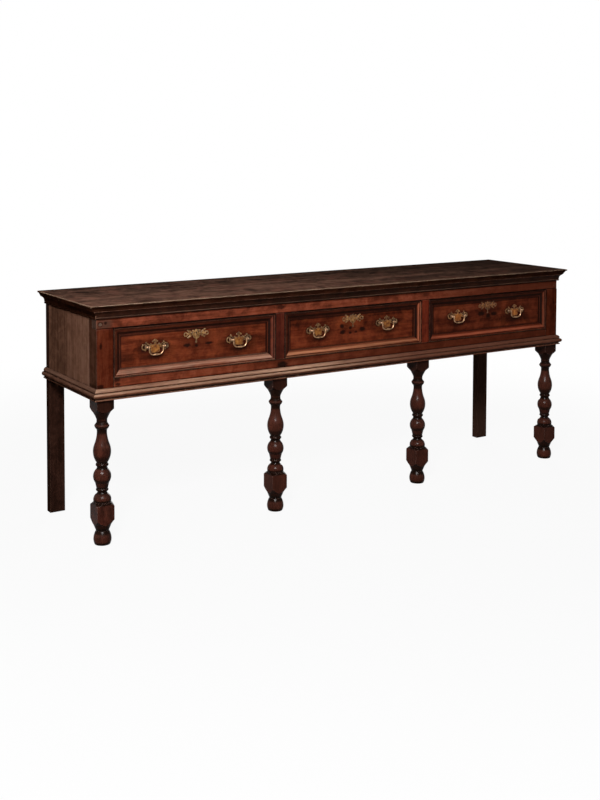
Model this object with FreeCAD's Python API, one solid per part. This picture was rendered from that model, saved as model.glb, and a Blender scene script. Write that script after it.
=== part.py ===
import FreeCAD
import Part
import math
import os

# Oak dresser base: three drawers in a joined case on turned front legs and plank back legs,
# with pierced brass handles and escutcheons.
# Millimetres. +X runs to the viewer's right, -Y to the front and +Z up.
# The origin is on the floor, under the middle of the whole piece.

V = FreeCAD.Vector
NEAR = 1e-6                    # points closer than this are one point

# Case
case_width = 2056.0            # over the corner posts
case_depth = 444.0             # from the front of the posts to the back boards
leg_length = 479.0             # from the floor to the bottom of the case
leg_block_length = 30.0        # square of a leg seen between its turning and the case
bottom_rail_reveal = 31.0      # bottom rail seen above the base moulding
opening_height = 163.0         # drawer openings
top_rail_reveal = 32.0         # top rail seen between the drawers and the cornice
rail_thickness = 34.0
rail_setback = 2.0             # top rail behind the faces of the posts
muntin_width = 40.0
panel_thickness = 18.0
board_gap = 0.6                # seam between boards that lie edge to edge

# Top
top_thickness = 20.0
top_overhang_front = 27.0
top_overhang_side = 31.0
top_seam_from_front = 282.0    # width of the front board
top_edge_fillet = 5.5          # flat band at the top of the moulded edge
top_edge_step = 3.5
top_edge_undercut = 8.0        # how far the hollow below the band goes in

# Cornice and base moulding
cornice_height = 27.0
cornice_projection = 15.0
base_moulding_height = 38.0
base_moulding_projection = 17.0

# Legs
leg_square = 60.0
foot_cut = 4.5                 # depth of the turning at the floor
corner_spare = 1.0             # how far the lathe's path runs outside the corners of the square
inner_leg_right_shift = 10.0   # the right inner leg stands this far left of the middle of its muntin
post_chamfer = 3.0             # on the shoulder of a corner post under the top rail
back_leg_width = 55.0
back_leg_thickness = 30.0

# Joints in the frame
tenon_thickness = 10.0
tenon_length = 28.0
tenon_shoulder = 9.0           # above and below a tenon
muntin_tenon = 14.0
tongue_thickness = 8.0
tongue_length = 8.0
joint_gap = 0.1                # clearance round tenons, tongues and pegs
peg_radius = 5.0
peg_length = 48.0
peg_from_end = 14.0
peg_height_in_rail = 15.0

# Back
back_board_thickness = 15.0
back_rebate = 12.0
back_rail_depth = 30.0
back_board_seam = 150.0        # height of the lower back board

# Drawer runs
runner_depth = 34.0
runner_bearing = 22.0          # how far runners and kickers reach under and over a drawer
guide_height = 20.0
kicker_thickness = 24.0
stop_length = 12.0
stop_width = 18.0
stop_height = 24.0
stop_clearance = 0.5

# Drawers
drawer_side_clearance = 1.8
drawer_top_clearance = 3.0
drawer_run_clearance = 0.3
front_bottom_clearance = 1.0
front_thickness = 20.0
front_setback = 0.5            # moulding of a drawer behind the faces of the posts
front_moulding_width = 26.0
front_moulding_thickness = 12.0
side_thickness = 13.0
drawer_back_thickness = 12.0
drawer_bottom_thickness = 8.0
drawer_bottom_height = 12.0    # under the drawer bottom
bottom_groove = 5.0
tail_count = 3
tail_root = 24.0
tail_tip = 31.0
front_lap = 6.0                # front left over the ends of the dovetails

# Brass handles
plate_thickness = 1.6
handle_offset = 156.0          # handle from the middle of its drawer
post_height = 88.0             # posts above the bottom of the opening
post_spacing = 66.0
post_reach = 8.5               # pivot in front of the plate
post_head_radius = 4.2
post_neck_radius = 2.8
post_flange_radius = 5.2
post_flange_thickness = 1.6
post_shank_radius = 2.3
shank_clearance = 0.15
shank_spare = 1.0              # shank past its nut
nut_size = 10.0
nut_thickness = 4.0
pin_radius = 1.6
pin_clearance = 0.05
pin_seat = 1.0                 # pin past the middle of the post
bail_radius = 2.0
bail_eye_radius = 2.5
bail_grip_radius = 3.1
bail_side_gap = 0.6
bail_drop = 26.0
bail_bend_radius = 15.5
shield_width = 37.0
shield_drop = 21.0
shield_rise = 7.5
shoulder_radius = 3.4          # lobes on the upper corners of the shield
shoulder_inset = 3.0
neck_width = 8.0               # between the shield and the crown
crown_rise = 24.5
crown_width = 23.0
crown_height = 9.5
boss_radius = 5.6
scroll_radius = 10.4
scroll_hole_radius = 6.8
scroll_offset = 6.4            # middle of a scroll outside its post
bar_height = 5.0               # between the shield and the posts
leaf_root = 4.0                # inside the edge of the shield
leaf_tip = 1.0                 # tip of an upper leaf inside its post
leaf_rise = 13.5
leaf_swell = 2.2
leaf_lobe_radius = 3.2
low_leaf_tip = 3.5             # tip of a lower leaf outside its post
low_leaf_drop = 10.5
low_leaf_swell = 1.8
low_leaf_lobe_radius = 2.4

# Escutcheon and lock
escutcheon_gap = 1.0           # under the moulding of the drawer
escutcheon_rise = 11.0         # above the keyhole
escutcheon_drop = 22.0
escutcheon_half_width = 47.5
body_width = 25.0
body_rise = 6.0
crest_radius = 5.0
ear_radius = 3.4
ear_offset = 12.0
ear_rise = 5.5
arm_drop = 4.0
arm_swell = 4.8
lobe_radius = 7.5
lobe_hole_radius = 4.2
lobe_drop = 5.0
wing_root = 16.0
wing_tip = 32.0
wing_swell = 3.8
wing_lobe_radius = 2.8
spur_root = 13.0
spur_tip = 31.0
spur_drop = 16.0
spur_swell = 3.2
spur_lobe_radius = 2.6
eyelet_radius = 2.4
eyelet_offset = 18.0
pendant_drop = 33.0
pendant_radius = 3.4
pendant_stem = 3.4
keyhole_radius = 2.8
keyhole_slot = 2.8
keyhole_drop = 7.5
lock_width = 70.0
lock_height = 52.0
lock_depth = 10.0
bolt_width = 24.0
bolt_thickness = 6.0
bolt_height = 30.0
bolt_below_edge = 1.0          # withdrawn bolt under the top of the lock
bolt_travel = 9.0
bolt_clearance = 0.4
bolt_mortise_spare = 2.0

# Turning of a front leg, from the floor up: share of the stretch in the length, depth of the cut below the
# face of the square at its end, and depth half way (None where the stretch is straight).
# UNCUT leaves the square with its corners.
half_square = leg_square / 2.0
UNCUT = -(math.sqrt(2.0) - 1.0) * half_square - corner_spare
SHOULDER = UNCUT / 2.2
TURNING = [
    (18.0, 0.3, 1.25),         # bun foot, up to its widest
    (27.0, 8.7, 2.6),          # bun foot, up to the ankle
    (21.0, 0.2, None),         # ankle
    (18.0, UNCUT, SHOULDER),   # lower block
    (43.0, UNCUT, None),
    (13.0, 1.5, SHOULDER),
    (25.0, 9.0, 1.2),          # cushion
    (7.0, 14.5, 12.8),
    (3.0, 13.5, None),
    (9.0, 11.5, 9.4),          # ring
    (20.0, 6.8, None),         # flare
    (42.0, 9.0, 0.5),          # ball
    (8.0, 13.2, 11.8),
    (3.0, 12.5, None),
    (10.0, 11.5, 8.8),         # ring
    (3.0, 11.5, None),
    (36.0, 0.4, 3.0),          # baluster, up to its widest
    (26.0, 6.0, 1.9),
    (40.0, 13.6, 11.6),        # baluster neck
    (7.0, 12.5, None),
    (13.0, 5.2, 7.2),          # ring, up to its sharp edge
    (10.0, 12.4, None),
    (10.0, 12.4, None),        # collar
    (24.0, 0.5, 7.2),          # flare
    (13.0, UNCUT, SHOULDER),   # upper block
]

# Mouldings in fractions of their projection and height, with arcs as (through, to)
CORNICE = [
    (1.0, 1.0),
    (1.0, 0.90),
    (0.9, 0.90),
    (0.55, 0.70, 0.40, 0.40),
    (0.40, 0.28),
    (0.17, 0.26),
    (0.42, 0.13, 0.17, 0.0),
]
BASE_MOULDING = [
    (0.0, 0.0),
    (0.64, 0.0),
    (0.64, 0.10),
    (0.46, 0.11),
    (0.50, 0.18, 0.62, 0.22),
    (1.0, 0.43, 0.68, 0.63),
    (0.52, 0.63),
    (0.52, 0.69),
    (0.62, 0.70),
    (0.44, 0.90, 0.08, 1.0),
    (0.0, 1.0),
]
FRONT_MOULDING = [
    (0.0, 0.0),
    (0.0, 0.86),
    (0.07, 1.0, 0.14, 0.86),
    (0.14, 0.60),
    (0.19, 0.60),
    (0.19, 0.76),
    (0.44, 0.60, 0.80, 0.15),
    (0.80, 0.06),
    (0.86, 0.06),
    (0.93, 0.17, 1.0, 0.06),
    (1.0, 0.0),
]

# Brass outlines in fractions of their width and height
SHIELD = [
    (-0.5, 1.0),
    (0.0, 0.96, 0.5, 1.0),
    (0.435, 0.60, 0.455, 0.30),
    (0.40, 0.08, 0.24, 0.015),
    (0.0, 0.0, -0.24, 0.015),
    (-0.40, 0.08, -0.455, 0.30),
    (-0.435, 0.60, -0.5, 1.0),
]
CROWN = [
    (-0.5, 0.22),
    (-0.30, 0.60, -0.15, 0.88),
    (0.0, 1.0, 0.15, 0.88),
    (0.30, 0.60, 0.5, 0.22),
    (0.44, 0.0, 0.32, 0.04),
    (0.0, 0.16, -0.32, 0.04),
    (-0.44, 0.0, -0.5, 0.22),
]
ESCUTCHEON_BODY = [
    (-0.38, 1.0),
    (0.38, 1.0),
    (0.41, 0.80, 0.50, 0.62),
    (0.49, 0.30, 0.14, 0.02),
    (0.0, 0.0, -0.14, 0.02),
    (-0.49, 0.30, -0.50, 0.62),
    (-0.41, 0.80, -0.38, 1.0),
]

# Drawers, and how far their fittings were set by eye off their regular places: left handle across and
# up, keyhole across, right handle across and up
DRAWERS = [
    ("drawer_left", (1.0, 0.0), 0.0, (11.0, -3.5)),
    ("drawer_middle", (-4.0, 0.0), -4.5, (-4.0, 3.0)),
    ("drawer_right", (-1.0, 0.0), -1.0, (-12.0, -1.5)),
]

# Levels above the floor
turned_height = leg_length - leg_block_length
turning_share = turned_height / sum(stretch[0] for stretch in TURNING)
case_bottom = leg_length
moulding_top = case_bottom + base_moulding_height
opening_bottom = moulding_top + bottom_rail_reveal
opening_top = opening_bottom + opening_height
cornice_bottom = opening_top + top_rail_reveal
top_underside = cornice_bottom + cornice_height
top_surface = top_underside + top_thickness

# Planes across and along the case
half_case = case_width / 2.0
post_inner = half_case - leg_square
front_y = (top_overhang_front - case_depth) / 2.0
back_y = front_y + case_depth
post_back_y = front_y + leg_square
rail_back_y = front_y + rail_thickness
top_rail_front_y = front_y + rail_setback
top_rail_back_y = top_rail_front_y + rail_thickness
tenon_y = top_rail_front_y + rail_thickness / 2.0
back_leg_front_y = back_y - back_leg_thickness
back_boards_front_y = back_y - back_board_thickness
opening_width = (2.0 * post_inner - 2.0 * muntin_width) / 3.0
drawer_pitch = opening_width + muntin_width

# Planes of a drawer
field_y = front_y + front_setback + front_moulding_thickness
front_back_y = field_y + front_thickness
drawer_back_y = back_leg_front_y - stop_length - stop_clearance
back_inner_y = drawer_back_y - drawer_back_thickness
drawer_width = opening_width - 2.0 * drawer_side_clearance
front_bottom = opening_bottom + front_bottom_clearance
drawer_top = opening_top - drawer_top_clearance
side_bottom = opening_bottom + drawer_run_clearance
side_height = drawer_top - side_bottom
plate_y = field_y - plate_thickness
pivot_y = plate_y - post_reach
post_z = opening_bottom + post_height
keyhole_z = drawer_top - front_moulding_width - escutcheon_gap - escutcheon_rise


def export(name, *solids):
    """Write one node: a single solid, or a group of separate ones."""
    shape = solids[0] if len(solids) == 1 else Part.makeCompound(list(solids))
    shape.exportStep("parts/" + name + ".step")


def block(x, y, z):
    """Box between pairs of planes."""
    return Part.makeBox(x[1] - x[0], y[1] - y[0], z[1] - z[0], V(x[0], y[0], z[0]))


def grown(pair, gap):
    return (pair[0] - gap, pair[1] + gap)


def about(middle, size):
    return (middle - size / 2.0, middle + size / 2.0)


def face(stations, place):
    """Face inside an outline. A station of four values ends an arc through its first two."""
    start = place(*stations[0])
    here = start
    edges = []
    for station in stations[1:]:
        there = place(*station[-2:])
        if len(station) == 4:
            edges.append(Part.Arc(here, place(*station[:2]), there).toShape())
        elif there.distanceToPoint(here) > NEAR:
            edges.append(Part.makeLine(here, there))
        here = there
    if here.distanceToPoint(start) > NEAR:
        edges.append(Part.makeLine(here, start))
    return Part.Face(Part.Wire(edges))


def prism(stations, place, along):
    return face(stations, place).extrude(along)


def fused(solids):
    whole = solids[0].fuse(solids[1:])
    return whole.removeSplitter().Solids[0]


def cut(solid, tools):
    return solid.cut(Part.makeCompound(tools)).Solids[0]


def mirrored_x(shape):
    return shape.mirror(V(0, 0, 0), V(1, 0, 0))


# Mouldings: profiles as (distance out from the case, height)


def top_edge(overhang):
    band = top_surface - top_edge_fillet
    inner = overhang - top_edge_step
    foot = inner - top_edge_undercut
    hollow = (foot + 0.35 * top_edge_undercut, top_underside + 0.4 * (band - top_underside))
    return [(overhang, top_surface), (overhang, band), (inner, band), (*hollow, foot, top_underside)]


def drawn(shape, across, low, up):
    """Stations of a shape given in fractions of its size across and up."""
    stations = []
    for station in shape:
        places = []
        for number, part in enumerate(station):
            places.append(low + part * up if number % 2 else part * across)
        stations.append(tuple(places))
    return stations


def front_strip(profile, seat_y):
    """Moulding along the front, mitred at both corners."""
    reach = top_overhang_side
    long = half_case + reach
    body = prism(profile, lambda out, z: V(-long, front_y - out, z), V(2.0 * long, 0, 0))
    plan = [
        (-half_case, seat_y),
        (half_case, seat_y),
        (half_case, front_y),
        (half_case + reach, front_y - reach),
        (-half_case - reach, front_y - reach),
        (-half_case, front_y),
    ]
    mitre = prism(plan, lambda x, y: V(x, y, 0), V(0, 0, top_surface))
    return body.common(mitre).Solids[0]


def side_strip(profile):
    """Moulding along the right side, mitred at the front corner."""
    reach = top_overhang_side
    body = prism(profile, lambda out, z: V(half_case + out, front_y - reach, z), V(0, case_depth + reach, 0))
    plan = [
        (half_case, front_y),
        (half_case + reach, front_y - reach),
        (half_case + reach, back_y),
        (half_case, back_y),
    ]
    mitre = prism(plan, lambda x, y: V(x, y, 0), V(0, 0, top_surface))
    return body.common(mitre).Solids[0]


def build_mouldings():
    cornice = drawn(CORNICE, cornice_projection, cornice_bottom, cornice_height)
    base = drawn(BASE_MOULDING, base_moulding_projection, case_bottom, base_moulding_height)
    against_rail = [(-rail_setback, cornice_bottom), (-rail_setback, top_underside)]
    against_side = [(0.0, cornice_bottom), (0.0, top_underside)]
    export("cornice_front", front_strip(against_rail + cornice, top_rail_front_y))
    cornice_return = side_strip(against_side + cornice)
    export("cornice_returns", mirrored_x(cornice_return), cornice_return)
    export("base_moulding_front", front_strip(base, front_y))
    base_return = side_strip(base)
    export("base_moulding_returns", mirrored_x(base_return), base_return)


def build_top():
    """Two boards, cut from one slab whose edge is moulded on the front and both ends."""
    front_edge = top_edge(top_overhang_front)
    end_edge = top_edge(top_overhang_side)
    long = half_case + top_overhang_side
    across = [(-case_depth, top_underside), (-case_depth, top_surface)] + front_edge
    along_x = prism(across, lambda out, z: V(-long, front_y - out, z), V(2.0 * long, 0, 0))
    right = [(-half_case, top_underside), (-half_case, top_surface)] + end_edge
    deep = V(0, case_depth + top_overhang_front, 0)
    front = front_y - top_overhang_front
    right_half = prism(right, lambda out, z: V(half_case + out, front, z), deep)
    slab = along_x.common(fused([right_half, mirrored_x(right_half)]))
    seam = front + top_seam_from_front
    everywhere = (-2.0 * long, 2.0 * long)
    levels = (top_underside, top_surface)
    export("top_front_board", slab.common(block(everywhere, (front, seam), levels)).Solids[0])
    export("top_back_board", slab.common(block(everywhere, (seam + board_gap, back_y), levels)).Solids[0])


# Frame


def turned_column(x, top):
    """Square column with the turning of a front leg cut below the case."""
    y = front_y + half_square
    stations = [(0.0, 0.0), (half_square - foot_cut, 0.0)]
    height = 0.0
    for share, depth, middle_depth in TURNING:
        length = share * turning_share
        end = (half_square - depth, height + length)
        if middle_depth is not None:
            end = (half_square - middle_depth, height + length / 2.0) + end
        stations.append(end)
        height += length
    stations.append((half_square - UNCUT, top))
    stations.append((0.0, top))
    turned = face(stations, lambda r, z: V(x + r, y, z)).revolve(V(x, y, 0), V(0, 0, 1), 360.0)
    square = block(about(x, leg_square), about(y, leg_square), (0.0, top))
    return turned.common(square).Solids[0]


def rail_tenon(gap):
    """Tenon of the bottom rail in the right corner post."""
    return block(
        (post_inner - gap, post_inner + tenon_length + gap),
        grown(about(front_y + rail_thickness / 2.0, tenon_thickness), gap),
        grown((case_bottom + tenon_shoulder, opening_bottom - tenon_shoulder), gap),
    )


def leg_tenon(x, gap):
    """Tenon of an inner leg in the bottom rail."""
    return block(
        grown(about(x, leg_square - 2.0 * tenon_shoulder), gap),
        grown(about(front_y + rail_thickness / 2.0, tenon_thickness), gap),
        (case_bottom - gap, case_bottom + tenon_length + gap),
    )


def muntin_tenons(x, gap):
    """Tenons at both ends of a muntin."""
    width = grown(about(x, muntin_width - 2.0 * tenon_shoulder), gap)
    depth = grown(about(tenon_y, tenon_thickness), gap)
    lower = block(width, depth, (opening_bottom - muntin_tenon - gap, opening_bottom + gap))
    upper = block(width, depth, (opening_top - gap, opening_top + muntin_tenon + gap))
    return [lower, upper]


def panel_tongues(gap):
    """Tongues at the front and back edges of the right side panel."""
    width = grown(about(half_case - panel_thickness / 2.0, tongue_thickness), gap)
    height = grown((case_bottom, top_underside), gap)
    front = block(width, (post_back_y - tongue_length - gap, post_back_y + gap), height)
    back = block(width, (back_leg_front_y - gap, back_leg_front_y + tongue_length + gap), height)
    return [front, back]


def back_rail_tenon(gap):
    return block(
        (half_case - back_leg_width - gap, half_case - back_leg_width + tenon_length + gap),
        grown(about((back_leg_front_y + back_boards_front_y) / 2.0, tenon_thickness), gap),
        grown((case_bottom + tenon_shoulder, opening_bottom - runner_depth - tenon_shoulder), gap),
    )


def rail_peg(gap):
    """Peg through the right end of the top rail into its post."""
    place = V(half_case - peg_from_end, top_rail_front_y, opening_top + peg_height_in_rail)
    return Part.makeCylinder(peg_radius + gap, peg_length + gap, place, V(0, 1, 0))


def build_legs():
    post = turned_column(half_case - half_square, top_underside)
    lap = block((post_inner, half_case), (front_y, top_rail_back_y), (opening_top, top_underside))
    corner = [
        (front_y, opening_top - post_chamfer),
        (front_y, opening_top),
        (front_y + post_chamfer, opening_top),
    ]
    chamfer = prism(corner, lambda y, z: V(post_inner, y, z), V(leg_square, 0, 0))
    mortises = [rail_tenon(joint_gap), panel_tongues(joint_gap)[0], rail_peg(joint_gap)]
    post = cut(post, [lap, chamfer] + mortises)
    export("leg_front_right", post)
    export("leg_front_left", mirrored_x(post))

    inner_x = drawer_pitch / 2.0
    for name, x in (("leg_inner_left", -inner_x), ("leg_inner_right", inner_x - inner_leg_right_shift)):
        export(name, fused([turned_column(x, case_bottom), leg_tenon(x, 0.0)]))

    width = (half_case - back_leg_width, half_case)
    plank = block(width, (back_leg_front_y, back_y), (0.0, top_underside))
    rebate = block(
        (width[0], width[0] + back_rebate),
        (back_boards_front_y, back_y),
        (case_bottom, top_underside),
    )
    plank = cut(plank, [rebate, panel_tongues(joint_gap)[1], back_rail_tenon(joint_gap)])
    export("leg_back_right", plank)
    export("leg_back_left", mirrored_x(plank))


def lock_bolt(x, gap):
    """Withdrawn bolt of a lock."""
    top = drawer_top - bolt_below_edge
    return block(
        grown(about(x, bolt_width), gap),
        grown(about(front_back_y - lock_depth / 2.0, bolt_thickness), gap),
        (top - bolt_height - gap, top),
    )


def build_rails():
    muntins = (-drawer_pitch / 2.0, drawer_pitch / 2.0)

    bottom = block((-post_inner, post_inner), (front_y, rail_back_y), (case_bottom, opening_bottom))
    bottom = fused([bottom, rail_tenon(0.0), mirrored_x(rail_tenon(0.0))])
    mortises = [muntin_tenons(x, joint_gap)[0] for x in muntins]
    mortises.append(leg_tenon(muntins[0], joint_gap))
    mortises.append(leg_tenon(muntins[1] - inner_leg_right_shift, joint_gap))
    export("bottom_rail", cut(bottom, mortises))

    top = block((-half_case, half_case), (top_rail_front_y, top_rail_back_y), (opening_top, top_underside))
    mortises = [muntin_tenons(x, joint_gap)[1] for x in muntins]
    mortises += [rail_peg(joint_gap), mirrored_x(rail_peg(joint_gap))]
    for _, _, keyhole_x, _ in drawer_places():
        thrown = lock_bolt(keyhole_x, bolt_clearance)
        thrown.translate(V(0, 0, bolt_travel + bolt_mortise_spare))
        mortises.append(thrown)
    export("top_rail", cut(top, mortises))
    export("rail_pegs", rail_peg(0.0), mirrored_x(rail_peg(0.0)))

    for name, x in zip(("muntin_left", "muntin_right"), muntins):
        upright = block(about(x, muntin_width), (front_y, rail_back_y), (opening_bottom, opening_top))
        export(name, fused([upright] + muntin_tenons(x, 0.0)))

    inner = half_case - back_leg_width
    back = block(
        (-inner, inner),
        (back_boards_front_y - back_rail_depth, back_boards_front_y),
        (case_bottom, opening_bottom - runner_depth),
    )
    export("back_rail", fused([back, back_rail_tenon(0.0), mirrored_x(back_rail_tenon(0.0))]))


def build_panels():
    panel = block(
        (half_case - panel_thickness, half_case),
        (post_back_y, back_leg_front_y),
        (case_bottom, top_underside),
    )
    panel = fused([panel] + panel_tongues(0.0))
    export("side_panel_right", panel)
    export("side_panel_left", mirrored_x(panel))

    wide = half_case - back_leg_width + back_rebate
    thick = (back_boards_front_y, back_y)
    seam = case_bottom + back_board_seam
    lower = block((-wide, wide), thick, (case_bottom, seam))
    upper = block((-wide, wide), thick, (seam + board_gap, top_underside))
    export("back_boards", lower, upper)


# Drawer runs


def corner_strip(y, z):
    """Strip along the right side panel, under or over the side of the right drawer."""
    return block((post_inner - runner_bearing, half_case - panel_thickness), y, z)


def build_runs():
    """Runners with their guides, kickers and stops."""
    run_bottom = opening_bottom - runner_depth
    guide_top = opening_bottom + guide_height
    kicker_z = (opening_top, opening_top + kicker_thickness)
    stop_y = (back_leg_front_y - stop_length, back_leg_front_y)
    stop_z = (opening_bottom, opening_bottom + stop_height)

    corner_y = (post_back_y, back_leg_front_y)
    guide = block((post_inner, half_case - panel_thickness), corner_y, (opening_bottom, guide_top))
    corner = fused([corner_strip(corner_y, (run_bottom, opening_bottom)), guide])
    runners = [mirrored_x(corner), corner]
    kicker = corner_strip(corner_y, kicker_z)
    kickers = [mirrored_x(kicker), kicker]
    edges = [(post_inner, -1.0), (-post_inner, 1.0)]

    middle_y = (rail_back_y, back_leg_front_y)
    for x in (-drawer_pitch / 2.0, drawer_pitch / 2.0):
        both = about(x, muntin_width + 2.0 * runner_bearing)
        base = block(both, middle_y, (run_bottom, opening_bottom))
        guide = block(about(x, muntin_width), middle_y, (opening_bottom, guide_top))
        runners.append(fused([base, guide]))
        kickers.append(block(both, (top_rail_back_y, back_boards_front_y), kicker_z))
        edges.append((x - muntin_width / 2.0, -1.0))
        edges.append((x + muntin_width / 2.0, 1.0))

    stops = []
    for edge, inward in edges:
        stop_x = sorted((edge, edge + inward * stop_width))
        stops.append(block(stop_x, stop_y, stop_z))
    export("drawer_runners", *runners)
    export("drawer_kickers", *kickers)
    export("drawer_stops", *stops)


# Drawers


def tails(x, root_y, tip_y):
    """Dovetails at one end of a drawer side."""
    pitch = side_height / tail_count
    made = []
    for number in range(tail_count):
        z = side_bottom + (number + 0.5) * pitch
        stations = [
            (root_y, z - tail_root / 2.0),
            (tip_y, z - tail_tip / 2.0),
            (tip_y, z + tail_tip / 2.0),
            (root_y, z + tail_root / 2.0),
        ]
        made.append(prism(stations, lambda y, height: V(x[0], y, height), V(x[1] - x[0], 0, 0)))
    return made


def keyhole(x, y, depth):
    """Keyhole running back from the plane y."""
    centre = V(x, y, keyhole_z)
    bow = Part.makeCylinder(keyhole_radius, depth, centre, V(0, 1, 0))
    slot = block(about(x, keyhole_slot), (y, y + depth), (keyhole_z - keyhole_drop, keyhole_z))
    return bow.fuse(slot)


def front_moulding(x):
    """Four mitred strips: outer bead, slope down to the field, inner bead."""
    wide = front_moulding_width
    high = front_moulding_thickness
    profile = drawn(FRONT_MOULDING, wide, 0.0, high)
    left, right = about(x, drawer_width)
    low, top = front_bottom, drawer_top
    spans = [
        (lambda u, v: V(left, field_y - v, low + u), V(drawer_width, 0, 0),
         [(left, low), (right, low), (right - wide, low + wide), (left + wide, low + wide)]),
        (lambda u, v: V(left, field_y - v, top - u), V(drawer_width, 0, 0),
         [(left, top), (right, top), (right - wide, top - wide), (left + wide, top - wide)]),
        (lambda u, v: V(left + u, field_y - v, low), V(0, 0, top - low),
         [(left, low), (left, top), (left + wide, top - wide), (left + wide, low + wide)]),
        (lambda u, v: V(right - u, field_y - v, low), V(0, 0, top - low),
         [(right, low), (right, top), (right - wide, top - wide), (right - wide, low + wide)]),
    ]
    strips = []
    for place, along, plan in spans:
        mitre = prism(plan, lambda across, z: V(across, field_y, z), V(0, -high, 0))
        strips.append(prism(profile, place, along).common(mitre).Solids[0])
    return strips


def drawer_box(name, x, keyhole_x, handles):
    """Front, sides, back and bottom, with their dovetails and grooves."""
    left, right = about(x, drawer_width)
    left_side = (left, left + side_thickness)
    right_side = (right - side_thickness, right)
    bottom_low = side_bottom + drawer_bottom_height
    bottom_z = (bottom_low, bottom_low + drawer_bottom_thickness)
    bottom = block(
        (left_side[1] - bottom_groove, right_side[0] + bottom_groove),
        (front_back_y - bottom_groove, drawer_back_y),
        bottom_z,
    )
    tail_y = front_back_y - (front_thickness - front_lap)

    sides = []
    front_tails = []
    back_tails = []
    for side in (left_side, right_side):
        board = block(side, (front_back_y, back_inner_y), (side_bottom, drawer_top))
        at_front = tails(side, front_back_y, tail_y)
        at_back = tails(side, back_inner_y, drawer_back_y)
        sides.append(cut(fused([board] + at_front + at_back), [bottom]))
        front_tails += at_front
        back_tails += at_back

    front = block((left, right), (field_y, front_back_y), (front_bottom, drawer_top))
    lock_seat = block(
        about(keyhole_x, lock_width),
        (front_back_y - lock_depth, front_back_y),
        (drawer_top - lock_height, drawer_top),
    )
    holes = [keyhole(keyhole_x, field_y, front_thickness)]
    for handle in handles:
        for post_x in about(handle[0], post_spacing):
            bore = post_shank_radius + shank_clearance
            holes.append(Part.makeCylinder(bore, front_thickness, V(post_x, field_y, handle[1]), V(0, 1, 0)))
    front = cut(front, front_tails + [bottom, lock_seat] + holes)
    back = block((left, right), (back_inner_y, drawer_back_y), (bottom_z[1], drawer_top))
    export(name + "_front", front)
    export(name + "_front_moulding", *front_moulding(x))
    export(name + "_sides", *sides)
    export(name + "_back", cut(back, back_tails))
    export(name + "_bottom", bottom)


def build_lock(name, x):
    body = block(
        about(x, lock_width),
        (front_back_y - lock_depth, front_back_y),
        (drawer_top - lock_height, drawer_top),
    )
    slot = lock_bolt(x, bolt_clearance).fuse(
        block(
            grown(about(x, bolt_width), bolt_clearance),
            grown(about(front_back_y - lock_depth / 2.0, bolt_thickness), bolt_clearance),
            (drawer_top - 2.0 * bolt_below_edge, drawer_top),
        )
    )
    export(name + "_lock", cut(body, [slot, keyhole(x, front_back_y - lock_depth, lock_depth / 2.0)]))
    export(name + "_lock_bolt", lock_bolt(x, 0.0))


# Brasses


def drawer_places():
    """Name, middle, keyhole and handles of each drawer."""
    places = []
    for number, (name, left, keyhole_shift, right) in enumerate(DRAWERS):
        x = (number - (len(DRAWERS) - 1) / 2.0) * drawer_pitch
        handles = [
            (x - handle_offset + left[0], post_z + left[1]),
            (x + handle_offset + right[0], post_z + right[1]),
        ]
        places.append((name, x, x + keyhole_shift, handles))
    return places


def sheet(stations, x, z, flip=1.0):
    """Plate on the drawer field inside an outline given from (x, z), mirrored where flip is -1."""
    return prism(stations, lambda u, v: V(x + flip * u, field_y, z + v), V(0, -plate_thickness, 0))


def disc(radius, x, z):
    return Part.makeCylinder(radius, plate_thickness, V(x, field_y, z), V(0, -1, 0))


def leaf(root, tip, swell):
    """Outline between two arcs that meet in a point at both ends."""
    middle = ((root[0] + tip[0]) / 2.0, (root[1] + tip[1]) / 2.0)
    run = (tip[0] - root[0], tip[1] - root[1])
    length = math.hypot(*run)
    side = (-run[1] / length * swell, run[0] / length * swell)
    return [
        root,
        (middle[0] + side[0], middle[1] + side[1], tip[0], tip[1]),
        (middle[0] - side[0], middle[1] - side[1], root[0], root[1]),
    ]


def lobed_leaf(root, tip, swell, lobe, place, side):
    """Leaf from its root to a round lobe at its tip, on one side of a plate."""
    x, z = place
    return [sheet(leaf(root, tip, swell), x, z, side), disc(lobe, x + side * tip[0], z + tip[1])]


def handle_plate(place):
    """Bat-wing plate: a plain shield with a crown, and a pierced scroll round each post."""
    x, z = place
    half = shield_width / 2.0
    post = post_spacing / 2.0
    root = half - leaf_root
    crown_low = crown_rise - crown_height
    pieces = [
        sheet(drawn(SHIELD, shield_width, -shield_drop, shield_drop + shield_rise), x, z),
        sheet(drawn(CROWN, crown_width, crown_low, crown_height), x, z),
        block(about(x, neck_width), (plate_y, field_y), (z, z + crown_rise - crown_height / 2.0)),
        block(about(x, post_spacing), (plate_y, field_y), about(z, bar_height)),
    ]
    bores = []
    for side in (-1.0, 1.0):
        scroll_x = x + side * (post + scroll_offset)
        pieces.append(cut(disc(scroll_radius, scroll_x, z), [disc(scroll_hole_radius, scroll_x, z)]))
        pieces.append(disc(boss_radius, x + side * post, z))
        pieces.append(disc(shoulder_radius, x + side * (half - shoulder_inset), z + shield_rise))
        upper_tip = (post - leaf_tip, leaf_rise)
        lower_tip = (post + low_leaf_tip, -low_leaf_drop)
        pieces += lobed_leaf((root, 0.0), upper_tip, leaf_swell, leaf_lobe_radius, place, side)
        pieces += lobed_leaf((root, 0.0), lower_tip, low_leaf_swell, low_leaf_lobe_radius, place, side)
        bores.append(disc(post_shank_radius + shank_clearance, x + side * post, z))
    return cut(fused(pieces), bores)


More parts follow.
